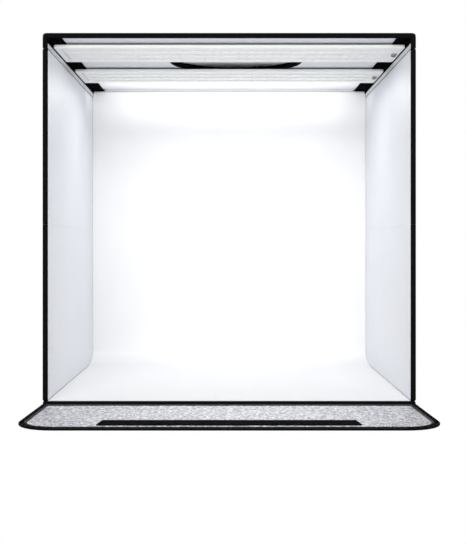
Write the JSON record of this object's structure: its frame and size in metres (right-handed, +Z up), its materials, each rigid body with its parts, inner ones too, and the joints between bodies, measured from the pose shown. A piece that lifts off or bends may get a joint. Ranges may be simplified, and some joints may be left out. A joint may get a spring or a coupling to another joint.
{
  "type": "light tent cube",
  "caption": "Fold-flat photo light tent cube with lit ceiling boards, sweeping backdrop, folding side walls, top window with cover and closing flap.",
  "frame": {"origin": "centre of the underside of the floor panel, on the surface the tent stands on", "axes": "+Z up, +Y from the open front to the back panel, +X to the right seen from the front"},
  "size_m": [0.8118, 1.0926, 0.8079],
  "materials": {
    "black_cloth": "coated black woven cloth with bound edges",
    "stiff_board": "plain hollow plastic board",
    "silver_lining": "smooth silver-white reflective cloth",
    "pebbled_lining": "pebbled silver reflective cloth",
    "loop_tape": "black loop pile",
    "hook_tape": "black hook tape",
    "grey_tape": "pale grey tape",
    "white_sheet": "matt white backdrop cloth",
    "white_board": "white satin plate",
    "circuit_strip": "white circuit strip with pale yellow light packages",
    "solder_strip": "white circuit strip with solder pads",
    "black_plastic": "fine moulded black"
  },
  "bodies": {
    "base": {"floor_cover": "black_cloth", "floor_board": "stiff_board", "floor_lining": "silver_lining", "backdrop_sheet": "white_sheet"},
    "left_lower": {"left_lower_cover": "black_cloth", "left_lower_board": "stiff_board", "left_lower_lining": "silver_lining"},
    "left_upper": {"left_upper_cover": "black_cloth", "left_upper_board": "stiff_board", "left_upper_lining": "silver_lining"},
    "right_lower": {"right_lower_cover": "black_cloth", "right_lower_board": "stiff_board", "right_lower_lining": "silver_lining"},
    "right_upper": {"right_upper_cover": "black_cloth", "right_upper_board": "stiff_board", "right_upper_lining": "silver_lining"},
    "canopy": {"top_cover": "black_cloth", "top_board": "stiff_board", "top_lining": "silver_lining", "window_rim": "black_cloth", "window_hinge_tape": "black_cloth", "left_loop_rail": "loop_tape", "right_loop_rail": "loop_tape", "backdrop_loop_tape": "grey_tape", "backdrop_hook_tape": "grey_tape"},
    "window_cover": {"window_cover_shell": "black_cloth", "window_cover_lining": "pebbled_lining", "window_pull_tab": "black_cloth"},
    "front_board": {"front_light_board": "white_board", "front_board_left_hook_pad": "hook_tape", "front_board_right_hook_pad": "hook_tape", "front_light_strip_1": "circuit_strip", "front_light_strip_2": "circuit_strip", "front_light_strip_3": "circuit_strip", "front_solder_strip": "solder_strip", "front_lead_socket": "black_plastic"},
    "rear_board": {"rear_light_board": "white_board", "rear_board_left_hook_pad": "hook_tape", "rear_board_right_hook_pad": "hook_tape", "rear_light_strip_1": "circuit_strip", "rear_light_strip_2": "circuit_strip", "rear_light_strip_3": "circuit_strip", "rear_solder_strip": "solder_strip", "rear_lead_socket": "black_plastic"},
    "back": {"back_cover": "black_cloth", "back_board": "stiff_board", "back_lining": "silver_lining", "back_left_lower_tab": "hook_tape", "back_left_upper_tab": "hook_tape", "back_right_lower_tab": "hook_tape", "back_right_upper_tab": "hook_tape", "back_top_tab": "hook_tape", "back_closure_loop_tape": "loop_tape"},
    "flap": {"flap_cover": "black_cloth", "flap_board": "stiff_board", "flap_lining": "pebbled_lining", "flap_hook_tape": "hook_tape"}
  },
  "joints": [
    {"name": "side_fold", "type": "hinge", "parent": "base", "child": "left_lower", "pos_m": [-0.3895, 0, 0.0108], "axis": [0, 1, 0], "range_deg": [0, 90], "deforming": ["backdrop_sheet"]},
    {"name": "left_crease", "type": "hinge", "parent": "left_lower", "child": "left_upper", "pos_m": [-0.4005, 0, 0.3893], "axis": [0, 1, 0], "range_deg": [-180, 0]},
    {"name": "canopy_drop", "type": "hinge", "parent": "left_upper", "child": "canopy", "pos_m": [-0.3895, 0, 0.7678], "axis": [0, 1, 0], "range_deg": [0, 90]},
    {"name": "right_fold", "type": "hinge", "parent": "base", "child": "right_lower", "pos_m": [0.3895, 0, 0.0108], "axis": [0, 1, 0], "range_deg": [-90, 0]},
    {"name": "right_crease", "type": "hinge", "parent": "right_lower", "child": "right_upper", "pos_m": [0.4005, 0, 0.3893], "axis": [0, 1, 0], "range_deg": [0, 180]},
    {"name": "back_swing", "type": "hinge", "parent": "base", "child": "back", "pos_m": [0, 0.4021, 0], "axis": [-1, 0, 0], "range_deg": [0, 90]},
    {"name": "front_flap", "type": "hinge", "parent": "base", "child": "flap", "pos_m": [0, -0.4005, 0.0081], "axis": [-1, 0, 0], "range_deg": [0, 90]},
    {"name": "window_cover_swing", "type": "hinge", "parent": "canopy", "child": "window_cover", "pos_m": [-0.155, -0.115, 0.8062], "axis": [0, -1, 0], "range_deg": [0, 170]},
    {"name": "front_board_slide", "type": "slide", "parent": "canopy", "child": "front_board", "axis": [0, 1, 0], "range_m": [-0.045, 0.06]},
    {"name": "rear_board_slide", "type": "slide", "parent": "canopy", "child": "rear_board", "axis": [0, 1, 0], "range_m": [-0.05, 0.14]}
  ],
  "couplings": [
    {"joint": "left_crease", "follows": "side_fold", "ratio": -2},
    {"joint": "canopy_drop", "follows": "side_fold", "ratio": 1},
    {"joint": "right_fold", "follows": "side_fold", "ratio": -1},
    {"joint": "right_crease", "follows": "side_fold", "ratio": 2}
  ]
}
